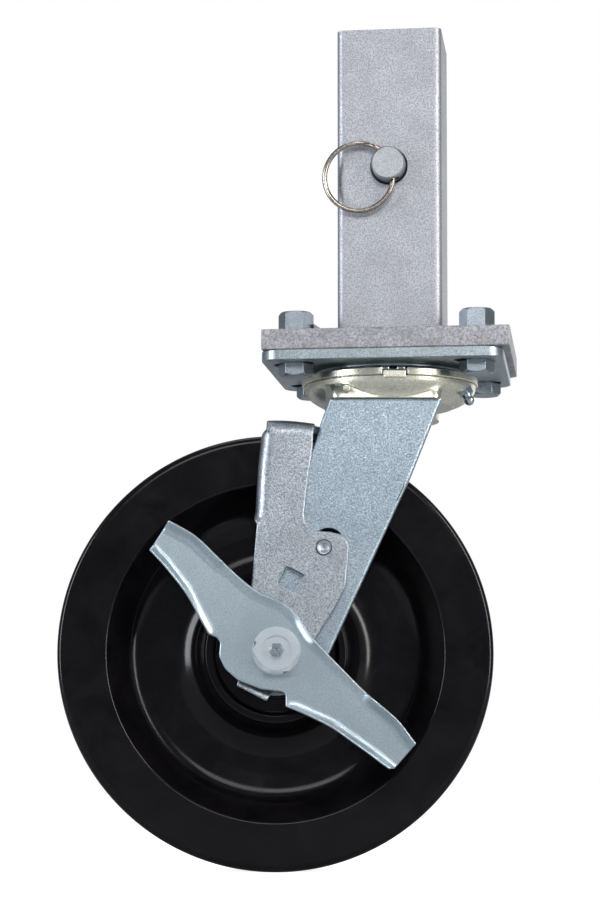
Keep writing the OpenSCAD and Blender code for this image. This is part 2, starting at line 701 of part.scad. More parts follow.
stem_tube();
stem_plate();
stem_weld();
bolt_tack_weld();
caster_plate();
plate_bolts();
plate_nuts();
king_pin();
king_pin_nut();
lower_race();
race_ring();
yoke_crown();
leg_near();
leg_far();
swivel_grease_fitting();
crown_plug();
axle_bolt();
axle_grease_fitting();
axle_washer();
axle_nut();
pedal_bush();
bearing_sleeve();
thrust_washers();
upper_balls();
lower_balls();
wheel();
roller_cage();
bearing_rollers();
brake_arm();
pivot_pin();
pivot_collar();
brake_pedal();
drive_pin();
lock_pin();
detent_spring();
detent_ball();
pull_ring();
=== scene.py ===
# %% [markdown]
# # A gate wheel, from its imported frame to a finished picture
# The frame holds the working design. Here each visible piece gets its pressed edges, its moulded
# curves and its own finish. Everything is in metres, in the frame's own axes, so no piece is fitted by eye.

# %% Load the frame
import json
import math

import bmesh
import bpy
import numpy as np
from mathutils.geometry import delaunay_2d_cdt
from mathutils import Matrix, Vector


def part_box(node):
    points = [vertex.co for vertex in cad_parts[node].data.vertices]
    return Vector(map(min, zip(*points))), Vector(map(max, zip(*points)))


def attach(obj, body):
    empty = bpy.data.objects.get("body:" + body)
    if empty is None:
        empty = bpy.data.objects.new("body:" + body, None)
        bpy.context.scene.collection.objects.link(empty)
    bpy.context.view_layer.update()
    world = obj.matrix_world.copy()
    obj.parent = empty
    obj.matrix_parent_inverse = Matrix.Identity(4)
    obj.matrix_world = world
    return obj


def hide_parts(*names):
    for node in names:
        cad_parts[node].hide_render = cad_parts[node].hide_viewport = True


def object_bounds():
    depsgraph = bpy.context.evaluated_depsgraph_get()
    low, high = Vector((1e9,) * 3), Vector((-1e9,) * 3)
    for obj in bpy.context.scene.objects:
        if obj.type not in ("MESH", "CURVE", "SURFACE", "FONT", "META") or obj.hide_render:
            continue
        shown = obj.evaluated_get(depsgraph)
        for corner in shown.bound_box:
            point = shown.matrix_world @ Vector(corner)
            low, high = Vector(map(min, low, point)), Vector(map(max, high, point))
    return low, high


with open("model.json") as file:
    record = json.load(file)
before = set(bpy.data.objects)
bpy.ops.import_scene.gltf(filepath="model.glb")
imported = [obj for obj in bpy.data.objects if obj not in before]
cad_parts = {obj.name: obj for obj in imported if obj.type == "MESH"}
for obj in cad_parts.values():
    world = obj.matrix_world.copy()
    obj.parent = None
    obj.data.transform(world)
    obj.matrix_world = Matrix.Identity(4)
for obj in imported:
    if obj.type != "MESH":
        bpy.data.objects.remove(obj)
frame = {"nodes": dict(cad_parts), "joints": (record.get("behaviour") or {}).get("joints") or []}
cad_low, cad_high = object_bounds()
MM = 0.001
render_levels = 2
joints = {j["name"]: j for j in frame["joints"]}
print("frame box in mm:", [round(v / MM, 1) for v in (*cad_low, *cad_high)])

# %% [markdown]
# The fork is turned a little about the swivel, so its pieces are drawn in the fork's own axes round
# the axle and then turned. The axle's place and direction come from the wheel's joint in the frame.

# %% Fork axes
axle = np.array(joints["wheel_spin"]["pos_m"]) / MM
fork_y = np.array(joints["wheel_spin"]["axis"])
fork_x = np.array([fork_y[1], -fork_y[0], 0.0])
pivot_at = np.array(joints["brake_arm_swing"]["pos_m"]) / MM - axle
PIVOT = np.array([pivot_at @ fork_x, pivot_at[2]])
swivel_at = np.array(joints["swivel"]["pos_m"]) / MM


def from_fork(points):
    """Turns points (x, y, z) in mm, measured from the axle in the fork's axes, into frame millimetres."""
    p = np.asarray(points, float)
    return axle + p[..., :1] * fork_x + p[..., 1:2] * fork_y + p[..., 2:] * np.array([0.0, 0.0, 1.0])


def from_swivel(points):
    """Turns points in mm, x and y from the swivel axis in the fork's axes and z the frame's, into frame mm."""
    p = np.asarray(points, float)
    base = np.array([swivel_at[0], swivel_at[1], 0.0])
    return base + p[..., :1] * fork_x + p[..., 1:2] * fork_y + p[..., 2:] * np.array([0.0, 0.0, 1.0])


print("axle at", axle.round(1), "pivot from axle", PIVOT.round(1))

# %% [markdown]
# The camera stands almost level, in front and far away, with a long lens. A long
# lens keeps the upright edges of the stem upright. The small upward shift replaces most of the tilt.

# %% Camera
def make_camera(place_mm, azimuth, tilt, lens_mm, shift):
    """A camera that looks along +Y turned by azimuth degrees and is tilted up by tilt degrees."""
    data = bpy.data.cameras.new("camera")
    data.lens = lens_mm
    data.shift_x, data.shift_y = shift
    data.clip_end = 50
    cam = bpy.data.objects.new("camera", data)
    cam.location = [v * MM for v in place_mm]
    cam.rotation_euler = (math.radians(90 + tilt), 0, math.radians(azimuth))
    bpy.context.scene.collection.objects.link(cam)
    bpy.context.scene.camera = cam
    return cam


make_camera((97.35, -1212.84, -201.66), 6.695, 3.67, 102.66, (0.0, 0.17))
print("lens", round(bpy.context.scene.camera.data.lens, 1), "mm")

# %% [markdown]
# A white studio: a pale floor, an even pale sky and large soft lamps. Bright metal only shows its
# shape when it mirrors something darker, so the sky that it mirrors is grey, and what the lens sees is white.

# %% Studio
bpy.context.scene.view_settings.view_transform = "Standard"


def add(tree, kind, settings=None, inputs=None):
    """Adds one node. Inputs are values, or (node, output) pairs to link from."""
    node = tree.nodes.new(kind)
    for key, value in (settings or {}).items():
        setattr(node, key, value)
    for key, value in (inputs or {}).items():
        if isinstance(value, tuple) and isinstance(value[0], bpy.types.Node):
            tree.links.new(value[0].outputs[value[1]], node.inputs[key])
        else:
            node.inputs[key].default_value = value
    return node


def hexed(text):
    """Turns an sRGB hex colour into the linear colour that shaders use."""
    srgb = [int(text[k : k + 2], 16) / 255 for k in (1, 3, 5)]
    return tuple(c / 12.92 if c <= 0.04045 else ((c + 0.055) / 1.055) ** 2.4 for c in srgb) + (1.0,)


def make_sky():
    world = bpy.data.worlds.new("studio")
    world.use_nodes = True
    bpy.context.scene.world = world
    tree = world.node_tree
    tree.nodes.clear()
    seen = add(tree, "ShaderNodeBackground", inputs={"Color": (1, 1, 1, 1), "Strength": 1.0})
    mirrored = add(tree, "ShaderNodeBackground", inputs={"Color": hexed("#dfe5ec"), "Strength": 0.32})
    ray = add(tree, "ShaderNodeLightPath")
    mix = add(tree, "ShaderNodeMixShader", inputs={0: (ray, "Is Camera Ray"), 1: (mirrored, 0), 2: (seen, 0)})
    add(tree, "ShaderNodeOutputWorld", inputs={"Surface": (mix, 0)})


def lamp(name, place, aim, size, power, colour):
    """A rectangular soft lamp at place, in metres, that faces aim."""
    data = bpy.data.lights.new(name, "AREA")
    data.shape = "RECTANGLE"
    data.size, data.size_y = size
    data.energy = power
    data.color = hexed(colour)[:3]
    obj = bpy.data.objects.new(name, data)
    way = np.array(aim) - np.array(place)
    obj.location = place
    tip = math.acos(-way[2] / np.linalg.norm(way))
    obj.rotation_euler = (tip, 0, math.atan2(way[1], way[0]) - math.pi / 2)
    bpy.context.scene.collection.objects.link(obj)


make_sky()
lamp("right_softbox", (1.3, -0.9, 0.3), (0, 0, -0.1), (0.3, 1.3), 19, "#fffdf8")
lamp("back_wall", (0.7, 2.0, 0.2), (0, 0, 0), (1.2, 1.2), 5, "#ffffff")
lamp("left_softbox", (-1.3, -0.9, 0.1), (0, 0, -0.1), (0.28, 1.3), 18, "#f4f7ff")
lamp("front_fill", (0.3, -2.2, 0.9), (0, 0, -0.1), (1.3, 0.7), 14, "#ffffff")
lamp("top_light", (0.0, 0.1, 1.4), (0, 0, 0), (1.1, 1.1), 7, "#ffffff")

# %% Floor
def make_floor():
    half, z = 6.0, cad_low[2]
    mesh = bpy.data.meshes.new("floor")
    corners = [(-half, -half, z), (half, -half, z), (half, half, z), (-half, half, z)]
    mesh.from_pydata(corners, [], [(0, 1, 2, 3)])
    floor = bpy.data.objects.new("floor", mesh)
    bpy.context.scene.collection.objects.link(floor)
    paper = bpy.data.materials.new("white_paper_sweep")
    paper.use_nodes = True
    tree = paper.node_tree
    tree.nodes.clear()
    ray = add(tree, "ShaderNodeLightPath")
    matt = add(tree, "ShaderNodeBsdfDiffuse", inputs={"Color": hexed("#c8cacc")})
    glow = add(tree, "ShaderNodeMapRange", inputs={"Value": (ray, "Is Camera Ray"), "To Max": 0.92})
    lift = add(tree, "ShaderNodeEmission", inputs={"Color": (1, 1, 1, 1), "Strength": (glow, 0)})
    both = add(tree, "ShaderNodeAddShader", inputs={0: (matt, 0), 1: (lift, 0)})
    add(tree, "ShaderNodeOutputMaterial", inputs={"Surface": (both, 0)})
    mesh.materials.append(paper)


make_floor()

# %% [markdown]
# ## Finishes
# Nearly everything here is steel with a zinc coat. Hot-dip galvanising is thick, dull and mottled.
# Electroplated zinc is thin and bright, so the grain of the shot-blasted steel shows through it, and a
# clear blue or yellow passivate tints it. One recipe covers them: a metal whose colour drifts in
# broad clouds and flickers with a fine grain, and whose roughness and relief follow the same grain.

# %% Metal recipe
def metal(name, base, drift, grain_mm, grain_colour, roughness, rough_grain, relief, cloud_mm, stain=None):
    """base and drift are the two cloud colours; grain_colour tints the low spots of the grain."""
    mat = bpy.data.materials.new(name)
    mat.use_nodes = True
    tree = mat.node_tree
    tree.nodes.clear()
    place = add(tree, "ShaderNodeTexCoord")
    cloud = add(tree, "ShaderNodeTexNoise", {"noise_dimensions": "3D"},
                {"Vector": (place, "Object"), "Scale": 1 / (cloud_mm * MM), "Detail": 5.0, "Roughness": 0.6})
    grain = add(tree, "ShaderNodeTexNoise", {"noise_dimensions": "3D"},
                {"Vector": (place, "Object"), "Scale": 1 / (grain_mm * MM), "Detail": 2.5, "Roughness": 0.65})
    cloud_step = add(tree, "ShaderNodeMapRange",
                     inputs={"Value": (cloud, 0), "From Min": 0.35, "From Max": 0.65})
    grain_step = add(tree, "ShaderNodeMapRange",
                     inputs={"Value": (grain, 0), "From Min": 0.36, "From Max": 0.64})
    body = add(tree, "ShaderNodeMixRGB", {"blend_type": "MIX"},
               {"Fac": (cloud_step, 0), "Color1": hexed(base), "Color2": hexed(drift)})
    speck = add(tree, "ShaderNodeMixRGB", {"blend_type": "MIX"},
                {"Fac": (grain_step, 0), "Color1": hexed(grain_colour), "Color2": (body, 0)})
    colour = speck
    if stain:
        patch = add(tree, "ShaderNodeTexNoise", inputs={"Vector": (place, "Object"), "Scale": 1 / (9 * MM),
                                                        "Detail": 6.0, "Roughness": 0.7, "Distortion": 0.6})
        patch_step = add(tree, "ShaderNodeMapRange",
                         inputs={"Value": (patch, 0), "From Min": 0.56, "From Max": 0.72, "To Max": 0.8})
        colour = add(tree, "ShaderNodeMixRGB", inputs={"Fac": (patch_step, 0), "Color1": (speck, 0),
                                                       "Color2": hexed(stain)})
    rough = add(tree, "ShaderNodeMapRange",
                inputs={"Value": (grain, 0), "From Min": 0.3, "From Max": 0.7,
                        "To Min": roughness + rough_grain, "To Max": roughness - rough_grain})
    bump = add(tree, "ShaderNodeBump",
               inputs={"Height": (grain, 0), "Strength": 1.0, "Distance": relief * MM})
    skin = add(tree, "ShaderNodeBsdfPrincipled", inputs={"Base Color": (colour, 0), "Metallic": 1.0,
                                                         "Roughness": (rough, 0), "Normal": (bump, 0)})
    add(tree, "ShaderNodeOutputMaterial", inputs={"Surface": (skin, 0)})
    return mat


galvanised = metal("hot_dip_galvanised_steel", "#cbccd1", "#b9bac0", 0.7, "#9a9ca3", 0.54, 0.1, 0.08, 18)
galvanised_plate = metal("hot_dip_galvanised_plate",
                         "#c1c1c5", "#a8a8ad", 0.9, "#8b8b90", 0.48, 0.1, 0.1, 12, "#85796a")
weld = metal("galvanised_weld_bead", "#b3b3b6", "#8b8b8f", 1.6, "#6f7074", 0.5, 0.1, 0.2, 6)
blue_zinc = metal("blue_passivated_zinc_on_blasted_steel",
                  "#c3cfd7", "#b0bcc6", 0.7, "#7f8f9b", 0.37, 0.12, 0.12, 20)
blue_zinc_plate = metal("blue_passivated_zinc_plate",
                        "#c3ced3", "#a9b4b8", 0.6, "#8b979c", 0.38, 0.1, 0.06, 18)
pedal_zinc = metal("blue_passivated_zinc_on_pressed_sheet",
                   "#c9d7de", "#b6c3cb", 0.6, "#a3b1ba", 0.34, 0.06, 0.03, 22)
fastener_zinc = metal("bright_zinc_fastener", "#c9d6de", "#b3c0c9", 0.5, "#a0aeb8", 0.26, 0.05, 0.02, 8)
yellow_zinc = metal("iridescent_zinc_race",
                    "#efeee2", "#dcdaca", 0.7, "#c6c3b2", 0.3, 0.06, 0.03, 9, "#a9b8ae")
polished_zinc = metal("turned_and_polished_zinc", "#f4f9fc", "#e6eef4", 2.5, "#dde7ee", 0.3, 0.02, 0.004, 10)
nut_zinc = metal("dull_zinc_fastener", "#bac4cb", "#a5afb7", 0.5, "#8b949c", 0.34, 0.06, 0.03, 8)
arm_zinc = metal("dull_zinc_on_blasted_sheet", "#c9cfd6", "#b4bac1", 0.75, "#7e858d", 0.41, 0.12, 0.13, 15)
pin_zinc = metal("dull_zinc_pin", "#b9bcbf", "#a2a6aa", 0.5, "#8e9296", 0.4, 0.06, 0.03, 8)
ring_nickel = metal("nickel_plated_spring_wire", "#cfc8bf", "#a89f95", 1.2, "#8f867d", 0.16, 0.03, 0.01, 5)
bearing_steel = metal("polished_bearing_steel", "#dadde0", "#c9cdd1", 0.6, "#bfc3c7", 0.1, 0.02, 0.005, 6)
turned_steel = metal("plain_turned_steel", "#b2b6b9", "#9fa3a6", 0.5, "#8b8f92", 0.32, 0.06, 0.02, 8)
print("metals:", len([m for m in bpy.data.materials if "steel" in m.name or "zinc" in m.name]))

# %% [markdown]
# The wheel is moulded from phenolic resin and chopped cotton: almost black, hard and glossy where the
# mould was polished, with faint cloudy flow marks and short scuffs on the faces.

# %% Phenolic
def phenolic():
    mat = bpy.data.materials.new("moulded_black_phenolic")
    mat.use_nodes = True
    tree = mat.node_tree
    tree.nodes.clear()
    place = add(tree, "ShaderNodeTexCoord")
    flow = add(tree, "ShaderNodeTexNoise", inputs={"Vector": (place, "Object"), "Scale": 1 / (22 * MM),
                                                   "Detail": 7.0, "Roughness": 0.68, "Distortion": 0.8})
    fleck = add(tree, "ShaderNodeTexNoise", inputs={"Vector": (place, "Object"), "Scale": 1 / (1.6 * MM),
                                                    "Detail": 3.0, "Roughness": 0.6})
    step = add(tree, "ShaderNodeMapRange", inputs={"Value": (flow, 0), "From Min": 0.35, "From Max": 0.75})
    colour = add(tree, "ShaderNodeMixRGB", inputs={"Fac": (step, 0), "Color1": hexed("#070608"),
                                                   "Color2": hexed("#110f12")})
    rough = add(tree, "ShaderNodeMapRange", inputs={"Value": (flow, 0), "From Min": 0.3, "From Max": 0.7,
                                                    "To Min": 0.12, "To Max": 0.22})
    bump = add(tree, "ShaderNodeBump", inputs={"Height": (fleck, 0), "Strength": 0.5, "Distance": 0.02 * MM})
    skin = add(tree, "ShaderNodeBsdfPrincipled", inputs={"Base Color": (colour, 0), "Roughness": (rough, 0),
                                                         "Normal": (bump, 0), "IOR": 1.5,
                                                         "Specular IOR Level": 0.22})
    add(tree, "ShaderNodeOutputMaterial", inputs={"Surface": (skin, 0)})
    return mat


black_phenolic = phenolic()

# %% [markdown]
# ## Building blocks
# Four ways to make a piece. A grid of points becomes a mesh. A profile turned about an axis is such a
# grid. A plate is an outline with holes, whose edge is rolled over by small arcs. And a machined
# piece is a merged copy of its design solid with its edges broken by a bevel.

# %% Grid and finish helpers
def place_piece(name, mesh, body, material, nodes=()):
    """Links a mesh as a piece on a body, gives it its finish and hides the design solids it stands for."""
    obj = bpy.data.objects.new(name, mesh)
    bpy.context.scene.collection.objects.link(obj)
    mesh.materials.append(material)
    mesh.polygons.foreach_set("use_smooth", np.full(len(mesh.polygons), True))
    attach(obj, body)
    if nodes:
        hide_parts(*nodes)
    print(f"{name}: {len(mesh.polygons)} faces on {body}")
    return obj


def grid_faces(rows, cols, wrap_rows, wrap_cols, start=0):
    """Quads between neighbouring points of a rows by cols grid, joined round where asked."""
    r = np.arange(rows if wrap_rows else rows - 1)
    c = np.arange(cols if wrap_cols else cols - 1)
    r, c = np.meshgrid(r, c, indexing="ij")
    r2, c2 = (r + 1) % rows, (c + 1) % cols
    quads = np.stack([r * cols + c, r2 * cols + c, r2 * cols + c2, r * cols + c2], -1)
    return start + quads.reshape(-1, 4)


def to_mesh(name, points_mm, faces):
    mesh = bpy.data.meshes.new(name)
    mesh.from_pydata((np.asarray(points_mm) * MM).tolist(), [], [list(map(int, f)) for f in faces])
    mesh.update()
    return mesh


def outward(mesh):
    """Turns all faces of a closed mesh outwards: the signed volume of the mesh says which way they face."""
    mesh.calc_loop_triangles()
    co = np.empty(len(mesh.vertices) * 3)
    mesh.vertices.foreach_get("co", co)
    co = co.reshape(-1, 3)
    tri = np.empty(len(mesh.loop_triangles) * 3, int)
    mesh.loop_triangles.foreach_get("vertices", tri)
    a, b, c = (co[tri.reshape(-1, 3)[:, k]] for k in range(3))
    if np.einsum("ij,ij->i", a, np.cross(b, c)).sum() < 0:
        mesh.flip_normals()
    return mesh


def turned_surface(name, profile, axis_point, axis, side, steps):
    """A closed profile of (radius, along) pairs, carried round the axis:
    point = centre + along * axis + radius * arm(angle), arm = cos(angle) * side + sin(angle) * axis x side."""
    profile = np.asarray(profile, float)
    angle = np.linspace(0, 2 * np.pi, steps, endpoint=False)
    arm = np.cos(angle)[:, None] * side + np.sin(angle)[:, None] * np.cross(axis, side)
    points = axis_point + profile[None, :, 1:] * axis + profile[None, :, :1] * arm[:, None, :]
    return outward(to_mesh(name, points.reshape(-1, 3), grid_faces(steps, len(profile), True, True)))


def rounded(points, radii, steps=6):
    """Replaces each corner of an outline by an arc of the given radius, tangent to both sides."""
    points = np.asarray(points, float)
    out = []
    for k, r in enumerate(np.broadcast_to(radii, len(points))):
        p, a, b = points[k], points[k - 1], points[(k + 1) % len(points)]
        u, v = (a - p) / np.linalg.norm(a - p), (b - p) / np.linalg.norm(b - p)
        half = math.acos(float(np.clip(u @ v, -1, 1))) / 2
        longest = 0.45 * min(np.linalg.norm(a - p), np.linalg.norm(b - p))
        cut = min(r / math.tan(half), longest) if r > 0 else 0
        if cut < 1e-3 or half > 1.56:
            out.append(p)
            continue
        t = np.linspace(0, 1, steps + 1)[:, None]
        start, end = p + u * cut, p + v * cut
        out.extend((1 - t) ** 2 * start + 2 * t * (1 - t) * p + t**2 * end)
    return np.array(out)


def circle(centre, radius, steps=48):
    a = np.linspace(0, 2 * np.pi, steps, endpoint=False)
    return np.asarray(centre) + radius * np.stack([np.cos(a), np.sin(a)], 1)


def spaced(loop, gap):
    """Adds points along a closed outline so that no side is longer than gap."""
    nxt = np.roll(loop, -1, 0)
    parts = []
    for a, b in zip(loop, nxt):
        n = max(1, int(np.ceil(np.linalg.norm(b - a) / gap)))
        parts.append(a + (b - a) * (np.arange(n) / n)[:, None])
    return np.concatenate(parts)


def inward(loop):
    """Unit normals of a closed outline that point into the material on its left, averaged at the corners."""
    back, ahead = loop - np.roll(loop, 1, 0), np.roll(loop, -1, 0) - loop
    n = sum(np.stack([-d[:, 1], d[:, 0]], 1) / np.linalg.norm(d, axis=1)[:, None] for d in (back, ahead))
    length = np.linalg.norm(n, axis=1)[:, None]
    return n / length * (2 / length).clip(1, 1.6)


def inside(points, loops):
    """Even-odd test of many points against closed outlines."""
    hit = np.zeros(len(points), bool)
    for loop in loops:
        a, b = loop, np.roll(loop, -1, 0)
        cross = (a[None, :, 1] > points[:, None, 1]) != (b[None, :, 1] > points[:, None, 1])
        with np.errstate(divide="ignore", invalid="ignore"):
            slope = (b - a)[None, :, 0] / (b - a)[None, :, 1]
            x = a[None, :, 0] + (points[:, None, 1] - a[None, :, 1]) * slope
        hit ^= (cross & (points[:, None, 0] < x)).sum(1) % 2 == 1
    return hit


# %% Plates with rolled edges
def plate(name, outline, y_back, y_front, edge, holes=(), hole_edge=0.3, gap=2.0, bend=None, place=from_fork):
    """A plate in x and z between two depths. Round its rim run arcs of radius edge: a point of the outline
    moves in by edge * (1 - sin a) while its depth turns through edge * cos a, from the back face to the
    front. The faces are filled with a triangle net, and bend may then press the net out of its plane."""
    loops = [(outline, edge)] + [(h, hole_edge) for h in holes]
    points, faces, rims = [], [], []
    for k, (loop, r) in enumerate(loops):
        loop = spaced(np.asarray(loop, float), gap)
        area = (loop[:, 0] * np.roll(loop[:, 1], -1) - np.roll(loop[:, 0], -1) * loop[:, 1]).sum()
        if (area > 0) == (k > 0):
            loop = loop[::-1]
        n, quarter = inward(loop), np.linspace(0, np.pi / 2, 5)
        inset = np.concatenate([r * (1 - np.sin(quarter)), r * (1 - np.sin(quarter[::-1]))])
        turn_in = r * (1 - np.cos(quarter))
        depth = np.concatenate([y_back - turn_in, y_front + turn_in[::-1]])
        start = sum(len(p) for p in points)
        rows = [np.c_[loop + n * i, np.full(len(loop), d)] for i, d in zip(inset, depth)]
        points.append(np.concatenate(rows))
        faces.append(grid_faces(len(inset), len(loop), False, True, start))
        rims.append((start, start + (len(inset) - 1) * len(loop), loop + n * r))
    flat = [r[2] for r in rims]
    low, high = flat[0].min(0), flat[0].max(0)
    gx, gz = np.meshgrid(np.arange(low[0], high[0], gap), np.arange(low[1], high[1], gap))
    net = np.stack([gx.ravel(), gz.ravel()], 1)
    net = net[inside(net, flat)]
    edge_points = np.concatenate(flat)
    if len(net):
        nearest = np.array([((edge_points - p) ** 2).sum(1).min() for p in net])
        net = net[nearest > (0.5 * gap) ** 2]
    border, count = [], 0
    for loop in flat:
        border += [(count + i, count + (i + 1) % len(loop)) for i in range(len(loop))]
        count += len(loop)
    all_2d = np.concatenate([edge_points, net])
    verts, _, tris, source, _, _ = delaunay_2d_cdt([tuple(p) for p in all_2d], border, [], 0, 1e-5)
    verts = np.array([tuple(v) for v in verts])
    tris = np.array([list(t) for t in tris if len(t) == 3])
    tris = tris[inside(verts[tris].mean(1), flat)]
    base = sum(len(p) for p in points)
    for side, (depth, row) in enumerate(((y_back, 0), (y_front, 1))):
        lookup = np.empty(len(verts), int)
        extra = []
        for v in range(len(verts)):
            src = source[v][0] if len(source[v]) else -1
            if 0 <= src < count:
                lookup[v] = src
            else:
                lookup[v] = -len(extra) - 1
                extra.append(v)
        rim_index = np.concatenate([np.arange(len(r[2])) + r[row] for r in rims])
        where = np.where(lookup >= 0, rim_index[np.clip(lookup, 0, count - 1)], base - lookup - 1)
        faces.append(where[tris] if side else where[tris][:, ::-1])
        points.append(np.c_[verts[extra], np.full(len(extra), depth)])
        base += len(extra)
    p = np.concatenate(points)
    p = np.stack([p[:, 0], p[:, 2], p[:, 1]], 1)
    if bend:
        p = bend(p)
    return outward(to_mesh(name, place(p), [f for block in faces for f in block]))


def even_normals(obj, angle=40):
    """Large faces keep their own normals and only the rolled edges blend, as on a real pressing."""
    obj.data.set_sharp_from_angle(angle=math.radians(angle))
    finish = obj.modifiers.new("even normals", "WEIGHTED_NORMAL")
    finish.keep_sharp = True


# %% Machined copies
def machined(node, body, material, edge_mm=0.35, segments=2):
    """A merged copy of the design solid whose sharp edges are broken by a small bevel."""
    source = frame["nodes"][node]
    mesh = source.data.copy()
    mesh.name = node + "_finished"
    mesh.materials.clear()
    bm = bmesh.new()
    bm.from_mesh(mesh)
    bmesh.ops.remove_doubles(bm, verts=bm.verts, dist=1e-6)
    bmesh.ops.dissolve_limit(bm, angle_limit=math.radians(0.5), verts=bm.verts, edges=bm.edges)
    bm.to_mesh(mesh)
    bm.free()
    obj = place_piece(node + "_finished", mesh, body, material, (node,))
    broken = obj.modifiers.new("broken edges", "BEVEL")
    broken.width, broken.segments = edge_mm * MM, segments
    broken.limit_method, broken.angle_limit = "ANGLE", math.radians(35)
    broken.harden_normals = False
    even_normals(obj)
    return obj


# %% [markdown]
# ## Stem, plates and fasteners
# The stem is square tube, sawn and galvanised, so its edges are only lightly rounded. Its plate is
# flame-cut bar. The caster's plate is a pressing. All of them are machined copies of their solids.

# %% Stem group
for node, material, slot_name, edge in (
    ("stem_tube", galvanised, "galvanised_tube", 1.2),
    ("stem_plate", galvanised_plate, "galvanised_plate", 0.6),
    ("caster_plate", blue_zinc_plate, "blue_zinc_plate", 0.8),
    ("stem_weld", weld, "weld_metal", 0.3),
    ("bolt_tack_weld", weld, "weld_metal", 0.5),
    ("plate_bolts", nut_zinc, "blue_zinc_fastener", 0.25),
    ("plate_nuts", nut_zinc, "blue_zinc_fastener", 0.25),
    ("king_pin_nut", fastener_zinc, "blue_zinc_fastener", 0.3),
    ("king_pin", turned_steel, "plain_steel", 0.3),
    ("lower_race", yellow_zinc, "yellow_zinc_race", 0.4),
):
    machined(node, "stem", material, edge)

# %% Fork group
for node, material, slot_name, edge in (
    ("race_ring", yellow_zinc, "yellow_zinc_race", 0.5),
    ("swivel_grease_fitting", fastener_zinc, "blue_zinc_fastener", 0.2),
    ("crown_plug", yellow_zinc, "yellow_zinc_race", 0.3),
    ("axle_washer", fastener_zinc, "blue_zinc_fastener", 0.3),
    ("axle_nut", fastener_zinc, "blue_zinc_fastener", 0.4),
    ("pedal_bush", turned_steel, "plain_steel", 0.3),
    ("thrust_washers", turned_steel, "plain_steel", 0.3),
    ("axle_bolt", polished_zinc, "blue_zinc_fastener", 0.3),
    ("pivot_collar", turned_steel, "plain_steel", 0.2),
    ("axle_grease_fitting", fastener_zinc, "blue_zinc_fastener", 0.15),
):
    machined(node, "fork", material, edge)
machined("lock_pin", "pin", pin_zinc, 0.3)

# %% Carried-over nodes
for node, material in (
    ("bearing_sleeve", turned_steel),
    ("upper_balls", bearing_steel),
    ("lower_balls", bearing_steel),
    ("roller_cage", turned_steel),
    ("bearing_rollers", bearing_steel),
    ("drive_pin", turned_steel),
    ("detent_spring", turned_steel),
    ("detent_ball", bearing_steel),
):
    mesh = frame["nodes"][node].data
    mesh.materials.clear()
    mesh.materials.append(material)

# %% [markdown]
# ## Wheel
# One closed profile carried round the axle: crowned edges on the tread, a flat rim face, a sloping
# wall down to the web, and a hub cone with a lip and a recess for the washers.

# %% Wheel profile
def wheel_half():
    """Half profile as (radius, distance from the middle plane), each corner rounded by its own radius."""
    corners = [
        (101.55, 0, 0), (101.55, 25.4, 3.5), (78.8, 25.4, 2.0), (66.8, 12.2, 12), (56, 11.2, 12),
        (45, 11.0, 14),
        (37.6, 15.5, 9), (33.4, 26.2, 2.2), (32.5, 27.8, 0.9), (29.2, 27.8, 0.8), (27.9, 24.8, 1.0),
        (21.6, 24.8, 0.6), (21.2, 27.0, 0.4), (15.1, 27.0, 0.3), (15.1, 0, 0),
    ]
    pts, radii = np.array([c[:2] for c in corners], float), [c[2] for c in corners]
    return rounded(pts, radii, 8)


half = wheel_half()
half = half[(half[:, 1] > 0.01)]
profile = np.concatenate([half, half[::-1] * [1, -1]])
wheel_mesh = turned_surface("wheel_moulding", profile, axle, fork_y, fork_x, 240)
wheel = place_piece("wheel_moulding", wheel_mesh, "road_wheel", black_phenolic, ("wheel",))
even_normals(wheel, 60)

# %% [markdown]
# ## Fork legs
# Each leg is 6.35 mm plate, sheared and tumbled, so its edge is rolled over. The near leg has the
# narrow slot behind the brake arm's ear and the window where the arm's pivot is riveted in.

# %% Legs
LEG_SLOPE = math.radians(64.5)
along = np.array([math.cos(LEG_SLOPE), math.sin(LEG_SLOPE)])
across = np.array([math.sin(LEG_SLOPE), -math.cos(LEG_SLOPE)])


def node_span(node):
    """Lowest and highest depth of a node along the fork's own y axis, in mm from the axle."""
    v = np.empty(len(frame["nodes"][node].data.vertices) * 3)
    frame["nodes"][node].data.vertices.foreach_get("co", v)
    d = (v.reshape(-1, 3) / MM - axle) @ fork_y
    z = v.reshape(-1, 3)[:, 2] / MM - axle[2]
    return d.min(), d.max(), z.min(), z.max()


def leg_outline(top):
    foot = np.radians(64.5 - 90 - np.arange(40, 191, 10))
    pts = [(24.7, top), (77.1, top), (62.1, top - 37.4), tuple(22.8 * across)]
    pts += [tuple(19 * np.array([math.cos(a), math.sin(a)])) for a in foot]
    pts += [tuple(-25 * across + 30 * along), (17.4, top - 21.1)]
    radii = [0.6, 0.6, 60, 6] + [0] * len(foot) + [10, 40]
    return rounded(pts, radii)


def kidney():
    a = np.radians(np.arange(40, 141, 5))
    ray = np.stack([np.cos(a), np.sin(a)], 1)
    return PIVOT + [2.3, 2] + np.concatenate([7.4 * ray, 5.8 * ray[::-1]])


for node, holes in (
    ("leg_near", [circle((0, 0), 6.4), circle(PIVOT, 3.6), kidney()]),
    ("leg_far", [circle((0, 0), 6.4)]),
):
    y0, y1, _, top = node_span(node)
    mesh = plate(node + "_plate", leg_outline(top), y1, y0, 1.6, holes, gap=3.0)
    even_normals(place_piece(node + "_plate", mesh, "fork", blue_zinc, (node,)))

# %% [markdown]
# ## Brake pedal
# The pedal is one pressing of 3 mm sheet: a hub in the middle and two toes, with both long edges
# lifted into a stiffening flange. Its flat outline becomes a plate, and a smooth lift that depends on
# the distance to the nearest edge presses the flanges, higher at the toes than beside the hub.

